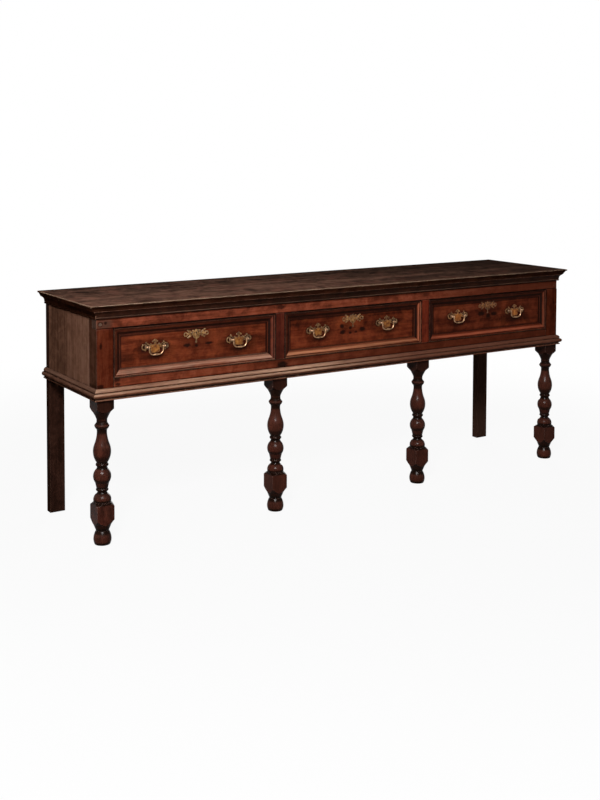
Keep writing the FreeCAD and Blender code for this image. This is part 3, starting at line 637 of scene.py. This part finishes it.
    def varnish(
        self,
        wear=1.0,
        dirt_and_shade=0.9,
        roughness=0.5,
        shine=0.02,
        edge=0.003,
        front=None,
        ends=None,
        reach=0.012,
        least=0.25,
        polished=None,
    ):
        """Worn arrises, grime and painted shade in the corners, pores and the surface itself.

        edge is the radius of the worn arrises, and least the share of wear where it is thinnest.
        front keeps wear before a depth, ends also beyond a distance from the middle.
        reach is how far the grime and painted shade come out of the corners.
        polished is a height below which the wax is rubbed to a gloss.
        """
        pores = self.between(self.noise(self.vector, *PORES), *PORE_STEP)
        self.coat(self.times(pores, PORE_SHARE), self.dark)
        soft = self.rounded(edge)
        arris = self.between(self.agreement(soft), *ARRIS_STEP)
        raised = self.between(self.axis_of(soft, "Z"), *RAISED_STEP)
        broken = self.between(self.noise(self.place, *EDGE_BREAKS), *EDGE_BREAK_STEP, least, 1.0)
        amount = self.times(arris, raised, broken, ARRIS_SHARE * wear)
        if front is not None:
            kept = self.math("LESS_THAN", self.axis_of(self.place, "Y"), front)
            if ends is not None:
                across = self.math("ABSOLUTE", self.axis_of(self.place, "X"))
                kept = self.math("MAXIMUM", kept, self.math("GREATER_THAN", across, ends))
            amount = self.times(amount, kept)
        self.coat(amount, self.worn)
        # Grime and painted shade in the inner corners.
        self.coat(self.times(self.between(self.recesses(reach), *CORNER_STEP), dirt_and_shade), SOOT_AND_SHADE)
        sheen = self.noise(self.place, *SHEEN)
        streaks = self.times(self.streaks, STREAK_RELIEF)
        relief = self.math("SUBTRACT", streaks, self.times(pores, PORE_RELIEF))
        waxed = self.waxed(sheen, relief, roughness, WAX_SPREAD, shine, GRAIN_STRENGTH)
        if polished is not None:
            gloss = self.waxed(sheen, relief, POLISH_ROUGHNESS, POLISH_SPREAD, POLISH_SHINE, POLISH_STRENGTH)
            low = self.math("LESS_THAN", self.axis_of(self.place, "Z"), polished)
            inputs = {"Fac": low, 1: waxed, 2: gloss}
            waxed = self.node("ShaderNodeMixShader", inputs).outputs["Shader"]
        self.surface(waxed)
        return self.material

    def waxed(self, sheen, relief, roughness, spread, shine, strength):
        smoothest, roughest = (roughness + change for change in spread)
        inputs = {
            "Base Color": self.colour,
            "Roughness": self.between(sheen, *SHEEN_STEP, smoothest, roughest),
            "Specular IOR Level": shine,
            "Normal": self.bump(relief, GRAIN_DEPTH, strength, self.rounded(SOFT_EDGE)),
        }
        return self.shader(inputs)


def brass(name, palette, factors=AS_IS, shields=(), dull=None):
    """Aged brass with rubbed edges.

    shields are places on a plate with warmer brass.
    dull is two heights: the brass is duller towards the lower one.
    """
    patina, middle, bright, rubbed = shade(palette, factors)
    finish = Finish(name)
    cloud = finish.noise(finish.place, *BRASS_CLOUDS)
    colour = finish.ramp(cloud, BRASS_STOPS, (patina, middle, bright))
    if shields:
        warm = finish.ramp(cloud, BRASS_STOPS, shade(SHIELD_BRASS, factors)[:3])
        for x, z in shields:
            colour = finish.mix(finish.spot(x, z, *SHIELD_SPOT, 0.0), colour, warm)
    arris = finish.math("SUBTRACT", 1.0, finish.agreement(finish.rounded(BRASS_EDGE)))
    edge = finish.between(arris, *BRASS_EDGE_STEP)
    colour = finish.mix(finish.times(edge, BRASS_RUB), colour, rubbed)
    grime = finish.between(finish.recesses(BRASS_CORNER), *BRASS_CORNER_STEP)
    colour = finish.mix(finish.times(grime, BRASS_GRIME), colour, GRIME)
    if dull:
        dullness = finish.between(finish.axis_of(finish.place, "Z"), *dull, BRASS_DULL, 0.0)
        colour = finish.mix(dullness, colour, GRIME)
    relief = finish.noise(finish.place, *BRASS_RELIEF)
    inputs = {
        "Base Color": colour,
        "Metallic": BRASS_METAL,
        "Roughness": finish.between(cloud, *SHEEN_STEP, *BRASS_ROUGHNESS),
        "Specular IOR Level": BRASS_SHINE,
        "Normal": finish.bump(relief, BRASS_DEPTH, BRASS_STRENGTH, finish.rounded(METAL_SOFT_EDGE)),
    }
    finish.surface(finish.shader(inputs))
    return finish.material


def iron():
    finish = Finish("lock_iron")
    rust = finish.noise(finish.place, *RUST_CLOUDS)
    inputs = {
        "Base Color": finish.ramp(rust, IRON_STOPS, (IRON, WORN_IRON, RUST)),
        "Metallic": IRON_METAL,
        "Roughness": finish.between(rust, *SHEEN_STEP, *IRON_ROUGHNESS),
        "Normal": finish.bump(rust, IRON_DEPTH, IRON_STRENGTH, finish.rounded(METAL_SOFT_EDGE)),
    }
    finish.surface(finish.shader(inputs))
    return finish.material


def dress(material, *names):
    """Give CAD nodes a material."""
    for name in names:
        mesh = nodes[name].data
        mesh.materials.clear()
        mesh.materials.append(material)


def middle_of(name):
    low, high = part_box(name)
    return (low + high) / 2.0


def shade(palette, factors):
    """A palette with its red, green and blue multiplied."""
    return Palette(*(tuple(part * factor for part, factor in zip(colour, factors)) for colour in palette))


def dress_top():
    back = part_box("top_back_board")[1].y
    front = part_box("top_front_board")[0].y + TOP_EDGE
    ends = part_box("top_front_board")[1].x - TOP_EDGE
    for name, offset, blotches, fade in (
        ("top_front_board", (0.0, 0.0, 0.0), 0.8, 0.5),
        ("top_back_board", (3.1, 1.7, 0.4), 0.9, 0.75),
    ):
        wood = Oak(name + "_oak", "x", offset, TOP_OAK, blotches)
        wood.patches(RED_WEAR, amount=0.3, offset=(5.0, 2.0, 0.0))
        # Painted shade: darker towards the right end.
        wood.along("X", start=-0.5, end=1.1, amount=fade, colour=wood.dark)
        # Dirt and painted shadow along the back edge.
        wood.lines("Y", [Line(back, reach=0.030, strength=0.7)])
        # Painted shade: the faces of the top that do not face up take the dark cornice boards.
        wood.turned("Z", low=0.8, high=0.5, palette=CORNICE_OAK)
        finish = wood.varnish(
            wear=1.7, dirt_and_shade=0.5, roughness=0.75, shine=0.0, edge=0.0055, front=front, ends=ends, least=0.6
        )
        dress(finish, name)
    for name, grain, offset, rubbed, wear, shine in (
        ("cornice_front", "x", (1.0, 4.0, 2.0), 0.3, 1.3, 0.015),
        ("cornice_returns", "y", (6.0, 0.3, 2.0), 0.0, 0.2, 0.0),
    ):
        wood = Oak(name + "_oak", grain, offset, CORNICE_OAK)
        # Bare wood and painted highlight on the slopes that face up.
        wood.rubbed(rubbed)
        dress(wood.varnish(wear=wear, shine=shine, least=0.5), name)


def dress_top_rail():
    """Worn left end, knots and burns, painted shadow along the edges, and painted shade on the ends and
    towards the right.
    """
    peg_low, peg_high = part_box("rail_pegs")
    peg_x = peg_low.x + (peg_high.z - peg_low.z) / 2.0
    peg_z = (peg_low.z + peg_high.z) / 2.0
    marks = [
        Mark(peg_x + 0.010, peg_z, 0.034, 0.020, 0.65, GREY_WEAR),
        Mark(peg_x, peg_z, 0.010, 0.010, 0.8, SOOT_AND_SHADE),
        Mark(peg_x + 0.018, peg_z + 0.003, 0.0055, 0.0055, 0.9, SOOT_AND_SHADE),
    ]
    for name, strength in (("muntin_left", 0.75), ("muntin_right", 0.45)):
        marks.append(Mark(middle_of(name).x + 0.004, peg_z + 0.006, 0.018, 0.008, strength, SOOT_AND_SHADE))
    # Painted shadow along the lower edge, in the gap over the drawers, and along the upper edge, under the
    # cornice.
    edges = [
        Line(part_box("top_rail")[0].z, reach=0.0030, strength=0.9),
        Line(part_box("cornice_front")[0].z, reach=0.0020, strength=0.8),
    ]
    wood = Oak("top_rail_oak", "x", (2.0, 5.0, 1.0), FRAME_OAK, blotches=0.3)
    # Painted shade on the ends of the rail, which face the sides.
    wood.turned("X", low=0.75, high=0.95, palette=SIDE_SHADE_OAK)
    # Painted shade: darker towards the right.
    wood.along("X", start=0.1, end=0.75, amount=0.75, colour=wood.dark)
    wood.along("X", start=0.9, end=1.0, amount=0.4, colour=wood.dark)
    wood.stains(marks)
    wood.lines("Z", edges)
    dress(wood.varnish(shine=0.008, reach=0.006), "top_rail")


def dress_bottom_rail():
    """Knots and burns, and painted shadow along the edges."""
    moulding_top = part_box("base_moulding_front")[1].z
    rail_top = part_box("bottom_rail")[1].z
    post_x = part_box("leg_front_left")[1].x
    marks = [
        Mark(middle_of("muntin_left").x + 0.010, moulding_top + 0.010, 0.026, 0.013, 0.95, SOOT_AND_SHADE),
        Mark(post_x + 0.010, rail_top - 0.006, 0.013, 0.008, 0.8, SOOT_AND_SHADE),
        Mark(post_x + 0.014, moulding_top + 0.009, 0.010, 0.006, 0.8, SOOT_AND_SHADE),
    ]
    # Painted shadow along the top edge, under the drawers, and along the base moulding.
    edges = [Line(rail_top, reach=0.005, strength=0.95), Line(moulding_top, reach=0.005, strength=0.7)]
    palette = shade(FRAME_OAK, (0.74, 0.67, 0.58))
    wood = Oak("bottom_rail_oak", "x", (5.0, 2.0, 3.0), palette, blotches=0.5)
    wood.along("X", start=-0.55, end=-0.2, amount=0.45, colour=wood.dark)
    wood.along("X", start=-0.1, end=0.3, amount=0.35, colour=wood.dark)
    wood.stains(marks)
    wood.lines("Z", edges)
    dress(wood.varnish(shine=0.012), "bottom_rail")


def dress_muntins():
    for name, factors in (("muntin_left", (0.95, 0.90, 0.88)), ("muntin_right", (2.05, 1.65, 1.30))):
        low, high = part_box(name)
        wood = Oak(name + "_oak", "z", (7.0, 2.0, 0.0), shade(MUNTIN_OAK, factors))
        # Painted shade in the gaps along both sides.
        wood.lines("X", [Line(side, reach=0.005, strength=0.95) for side in (low.x, high.x)])
        dress(wood.varnish(), name)


def dress_pegs():
    wood = Oak("peg_oak", "y", (7.0, 2.0, 0.0), PEG_OAK)
    wood.along("X", start=-0.5, end=0.5, amount=0.95, colour=FRAME_OAK.dark)
    dress(wood.varnish(dirt_and_shade=0.3, shine=0.0), "rail_pegs")


def dress_base():
    wood = Oak("base_front_oak", "x", (4.0, 8.0, 3.0), BASE_OAK)
    # Bare wood and painted highlight on the slopes that face up, less of it at the right end.
    wood.rubbed(1.0, to_right=0.25)
    wood.along("X", start=-0.3, end=0.4, amount=0.68, colour=BASE_REDDER)
    # Painted shade on the slopes that face down.
    wood.shaded(0.6)
    dress(wood.varnish(), "base_moulding_front")
    wood = Oak("base_side_oak", "y", (4.0, 1.0, 3.0), RETURN_OAK)
    # Bare wood and painted highlight on the slopes that face up.
    wood.rubbed(0.5)
    dress(wood.varnish(shine=0.0), "base_moulding_returns")


def dress_legs():
    """Turned legs and plank legs. The front legs run on up as the corner posts of the case."""
    case_bottom, moulding_top = (corner.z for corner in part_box("base_moulding_front"))
    post_left, post_right = (corner.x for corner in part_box("leg_front_left"))
    wood = Oak("leg_oak", "z", (9.0, 3.0, 1.0), LEG_OAK)
    wood.patches(RED_WAX, amount=0.4, offset=(4.0, 1.0, 6.0))
    # Painted light: the legs are lighter towards the right.
    wood.along("X", start=-0.9, end=-0.4, amount=0.45, colour=LEG_OAK.light)
    wood.along("X", start=0.3, end=1.0, amount=0.3, colour=LEG_OAK.light)
    # A little bare wood and painted highlight on the slopes that face up.
    wood.rubbed(0.06)
    # Painted shade under the bulbs of the turning.
    wood.shaded(0.8)
    # Dirt and painted shade in the grooves of the turning.
    wood.lines("Z", LEG_GROOVES)
    # Painted shadow under the case.
    wood.along("Z", start=case_bottom - 0.13, end=case_bottom - 0.01, amount=0.7, colour=SOOT_AND_SHADE)
    wood.above(case_bottom, POST_OAK)
    # Painted shade on the sides of the posts.
    wood.turned("X", low=0.75, high=0.95, palette=SIDE_SHADE_OAK, height=case_bottom)
    marks = [
        Mark(post_left + 0.0145, moulding_top + 0.138, 0.005, 0.012, 0.8, SOOT_AND_SHADE),
        Mark(post_left + 0.012, moulding_top + 0.006, 0.014, 0.008, 0.8, SOOT_AND_SHADE),
    ]
    wood.stains(marks)
    # Painted shade in the gaps along the inner edges of the posts.
    seams = [Line(place, reach=0.004, strength=0.9) for place in (post_right, -post_right)]
    wood.lines("X", seams, height=case_bottom)
    dress(wood.varnish(dirt_and_shade=1.0, shine=0.0, reach=0.018, polished=case_bottom), *FRONT_LEGS)
    wood = Oak("plank_oak", "z", (1.0, 7.0, 2.0), PLANK_OAK)
    # Painted light: lighter towards the right.
    wood.along("X", start=-1.0, end=1.0, amount=0.8, colour=PLANK_OAK.light)
    dress(wood.varnish(roughness=0.6, shine=0.0), "leg_back_left", "leg_back_right")


def dress_case():
    wood = Oak("panel_oak", "z", (5.0, 2.0, 1.0), SIDE_OAK, blotches=0.35)
    dress(wood.varnish(roughness=0.6, shine=0.0), "side_panel_left", "side_panel_right")
    wood = Oak("back_oak", "x", (8.0, 1.0, 6.0), BACK_OAK)
    wood.lines("Z", [Line(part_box("back_boards")[0].z + BACK_SEAM, reach=0.003, strength=0.95)])
    dress(wood.varnish(roughness=0.7, shine=0.0, dirt_and_shade=1.0, reach=0.006), "back_boards", "back_rail")
    wood = Oak("run_oak", "y", (3.0, 2.0, 5.0), LINING_OAK)
    dress(wood.varnish(roughness=0.65), "drawer_runners", "drawer_kickers", "drawer_stops")


def drawer_marks(drawer, dark, halo):
    """Old stains under the keyhole, grime and painted shade round the brasses, and painted shadow under the
    bails and behind the piercings of the scrolls.
    """
    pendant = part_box(drawer + "_escutcheon")[0].z
    keyhole_x = middle_of(drawer + "_escutcheon").x
    keyhole_z = pendant + KEYHOLE_ABOVE_PENDANT
    marks = [Mark(keyhole_x, keyhole_z - KEYHOLE_HALO_DROP, *KEYHOLE_HALO, halo, dark)]
    for bail in BAILS:
        place = middle_of(drawer + bail)
        marks.append(Mark(place.x, place.z, *HANDLE_HALO, HANDLE_HALO_STRENGTH, dark))
        for side in (-1.0, 1.0):
            x = place.x + side * SCROLL_FROM_MIDDLE
            z = place.z + SCROLL_ABOVE_BAIL
            marks.append(Mark(x, z, *SCROLL_HALO, SCROLL_HALO_STRENGTH, SOOT_AND_SHADE))
        x = place.x + BAIL_SHADE_SHIFT[0]
        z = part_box(drawer + bail)[0].z + BAIL_SHADE_SHIFT[1]
        marks.append(Mark(x, z, *BAIL_SHADE, BAIL_SHADE_STRENGTH, SOOT_AND_SHADE))
    for across, up, wide, high in STAINS[drawer]:
        marks.append(Mark(keyhole_x + across, keyhole_z + up, wide, high, STAIN_STRENGTH, SOOT_AND_SHADE))
    return marks


def dress_front(drawer, offset):
    """Front board and the moulding round it."""
    look = DRAWER_LOOKS[drawer]
    palette = shade(DRAWER_OAK, look.field)
    low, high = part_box(drawer + "_front_moulding")
    wood = Oak(drawer + "_front_oak", "x", offset, palette, blotches=0.7)
    wood.patches(GLOW, look.glow, offset=(2.0, 6.0, 4.0))
    wood.stains(drawer_marks(drawer, wood.dark, look.halo))
    # Painted shade on the field along the inside of the moulding.
    sides = [
        Line(low.x + MOULDING_WIDTH, reach=0.006, strength=0.8),
        Line(high.x - MOULDING_WIDTH, reach=0.009, strength=0.9),
    ]
    wood.lines("Z", [Line(high.z - MOULDING_WIDTH, reach=0.007, strength=0.8)])
    wood.lines("X", sides)
    dress(wood.varnish(shine=0.012, reach=0.02), drawer + "_front")

    wood = Oak(drawer + "_moulding_oak", (low, high), offset, palette, blotches=0.6)
    # Bare wood and painted highlight on the lower strip, which faces up, giving out towards the field, with
    # dirt and painted shade in the quirk by the field.
    wood.strip("bottom", start=0.005, end=0.009, amount=look.bare_share, colour=look.bare, streaky=True)
    wood.strip("bottom", start=0.013, end=0.018, amount=look.fade, colour=palette.middle)
    wood.groove("bottom", place=0.0245, reach=0.0025, strength=0.7)
    # Painted light on the right strip, which faces the light, and painted shade on its inner part.
    wood.strip("right", start=0.016, end=0.006, amount=0.85, colour=look.lit, streaky=True)
    wood.strip("right", start=0.012, end=0.016, amount=0.95, colour=SOOT_AND_SHADE)
    wood.strip("right", start=0.020, end=0.023, amount=0.6, colour=palette.middle)
    # Painted shade on the left and top strips, which face away from the light, with dirt and painted shade in
    # their grooves.
    for side in ("left", "top"):
        wood.strip(side, start=0.003, end=0.006, amount=0.6, colour=STRIP_SHADE)
        wood.groove(side, place=0.0165, reach=0.005, strength=0.85)
    # Wear on the outer beads, the lower one in the colour of bare wood and painted highlight, with dirt and
    # painted shade in the quirks inside them.
    for side, colour, amount, dirt_and_shade in (
        ("left", BEAD_WEAR, look.bead, 0.8),
        ("top", BEAD_WEAR, look.bead, 0.8),
        ("bottom", look.bare, 0.5 * look.wear, 0.4),
        ("right", BEAD_WEAR, 0.5 * look.bead, 0.8),
    ):
        wood.strip(side, start=0.0040, end=0.0030, amount=amount, colour=colour, streaky=True)
        wood.groove(side, QUIRK, reach=0.0016, strength=dirt_and_shade)
    # Painted shadow of the gap along the outer edges of the left and top strips.
    for side in ("left", "top"):
        wood.groove(side, place=0.0, reach=0.0035, strength=0.85)
    front = low.y + MOULDING_FRONT * (high.y - low.y)
    finish = wood.varnish(wear=look.wear, dirt_and_shade=1.0, shine=0.012, front=front)
    dress(finish, drawer + "_front_moulding")


def dress_lining(drawer, offset):
    wood = Oak(drawer + "_side_oak", "y", offset, LINING_OAK)
    dress(wood.varnish(roughness=0.65), drawer + "_sides")
    wood = Oak(drawer + "_lining_oak", "x", offset, LINING_OAK)
    dress(wood.varnish(roughness=0.65), drawer + "_back", drawer + "_bottom")


def dress_plates(drawer):
    """Handle plates with their shields, and the escutcheon, which is duller below the keyhole."""
    look = DRAWER_LOOKS[drawer]
    shields = []
    for bail in BAILS:
        place = middle_of(drawer + bail)
        shields.append((place.x, place.z + SHIELD_ABOVE_BAIL))
    plates = brass(drawer + "_plate_brass", PLATE_BRASS, look.plates, shields)
    dress(plates, drawer + "_handle_plates")
    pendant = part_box(drawer + "_escutcheon")[0].z
    dull = (pendant, pendant + KEYHOLE_ABOVE_PENDANT)
    escutcheon = brass(drawer + "_escutcheon_brass", ESCUTCHEON_BRASS, look.escutcheon, dull=dull)
    dress(escutcheon, drawer + "_escutcheon")


def dress_drawers():
    lock = iron()
    post = brass("post_brass", POST_BRASS)
    rod = brass("bail_brass", BAIL_BRASS)
    for number, drawer in enumerate(DRAWERS):
        offset = (1.3 * number, 2.1 * number, 0.7 * number)
        dress_front(drawer, offset)
        dress_lining(drawer, offset)
        dress_plates(drawer)
        dress(post, drawer + "_handle_posts")
        dress(rod, drawer + "_bail_left", drawer + "_bail_right")
        dress(lock, drawer + "_lock", drawer + "_lock_bolt")


def place_camera():
    camera = bpy.data.objects.new("camera", bpy.data.cameras.new("camera"))
    bpy.context.scene.collection.objects.link(camera)
    camera.location = CAMERA_PLACE
    aim = Euler((LEVEL - CAMERA_PITCH, 0.0, -CAMERA_YAW)).to_matrix()
    camera.rotation_euler = (aim @ Euler((0.0, 0.0, CAMERA_ROLL)).to_matrix()).to_euler()
    camera.data.sensor_width = SENSOR
    camera.data.lens = FOCAL_PIXELS / IMAGE_HEIGHT * SENSOR
    camera.data.shift_x = (IMAGE_WIDTH / 2.0 - CENTRE_PIXEL[0]) / IMAGE_HEIGHT
    camera.data.shift_y = (CENTRE_PIXEL[1] - IMAGE_HEIGHT / 2.0) / IMAGE_HEIGHT
    bpy.context.scene.camera = camera


def place_lamp(name, place, size, power, gloss_only=False):
    light = bpy.data.lights.new(name, "AREA")
    light.shape = "DISK"
    light.size = size
    light.energy = power
    lamp = bpy.data.objects.new(name, light)
    bpy.context.scene.collection.objects.link(lamp)
    lamp.location = place
    lamp.rotation_euler = (Vector(AIM) - Vector(place)).to_track_quat("-Z", "Y").to_euler()
    lamp.visible_camera = False
    lamp.visible_diffuse = not gloss_only


def seen_directly(tree):
    """One for rays that show the background itself: camera, mirror and glass rays."""
    path = tree.nodes.new("ShaderNodeLightPath")
    total = path.outputs["Is Camera Ray"]
    for name in ("Is Glossy Ray", "Is Transmission Ray"):
        joined = tree.nodes.new("ShaderNodeMath")
        joined.operation = "MAXIMUM"
        tree.links.new(total, joined.inputs[0])
        tree.links.new(path.outputs[name], joined.inputs[1])
        total = joined.outputs[0]
    return total


def light_world():
    world = bpy.data.worlds.new("studio")
    world.use_nodes = True
    tree = world.node_tree
    background = tree.nodes["Background"]
    background.inputs["Color"].default_value = (*WHITE, 1.0)
    strength = tree.nodes.new("ShaderNodeMapRange")
    strength.inputs["To Min"].default_value = SKY
    strength.inputs["To Max"].default_value = 1.0
    tree.links.new(seen_directly(tree), strength.inputs["Value"])
    tree.links.new(strength.outputs["Result"], background.inputs["Strength"])
    bpy.context.scene.world = world


def lay_floor():
    """Pale floor: the camera sees it white, with a faint shadow under the object."""
    mesh = bpy.data.meshes.new("floor")
    corners = [(FLOOR_HALF * x, FLOOR_HALF * y, 0.0) for x, y in FLOOR_CORNERS]
    mesh.from_pydata(corners, [], [(0, 1, 2, 3)])
    floor = bpy.data.objects.new("floor", mesh)
    bpy.context.scene.collection.objects.link(floor)
    finish = Finish("floor")
    matt = finish.node("ShaderNodeBsdfDiffuse", {"Color": (*FLOOR_COLOUR, 1.0)})
    glow = finish.node("ShaderNodeEmission")
    away = finish.node("ShaderNodeVectorMath", {0: finish.place}, operation="LENGTH").outputs["Value"]
    white = finish.between(away, *FLOOR_FADE, 1.0 - FLOOR_SHADOW, 1.0)
    share = finish.times(seen_directly(finish.tree), white)
    inputs = {"Fac": share, 1: matt.outputs["BSDF"], 2: glow.outputs["Emission"]}
    finish.surface(finish.node("ShaderNodeMixShader", inputs).outputs["Shader"])
    mesh.materials.append(finish.material)


dress_top()
dress_top_rail()
dress_bottom_rail()
dress_muntins()
dress_pegs()
dress_base()
dress_legs()
dress_case()
dress_drawers()
place_camera()
place_lamp("key", KEY_PLACE, KEY_SIZE, KEY_POWER)
place_lamp("fill", FILL_PLACE, FILL_SIZE, FILL_POWER)
place_lamp("back", BACK_PLACE, BACK_SIZE, BACK_POWER)
place_lamp("softbox", SOFTBOX_PLACE, SOFTBOX_SIZE, SOFTBOX_POWER, gloss_only=True)
light_world()
lay_floor()
bpy.context.scene.view_settings.view_transform = "Standard"
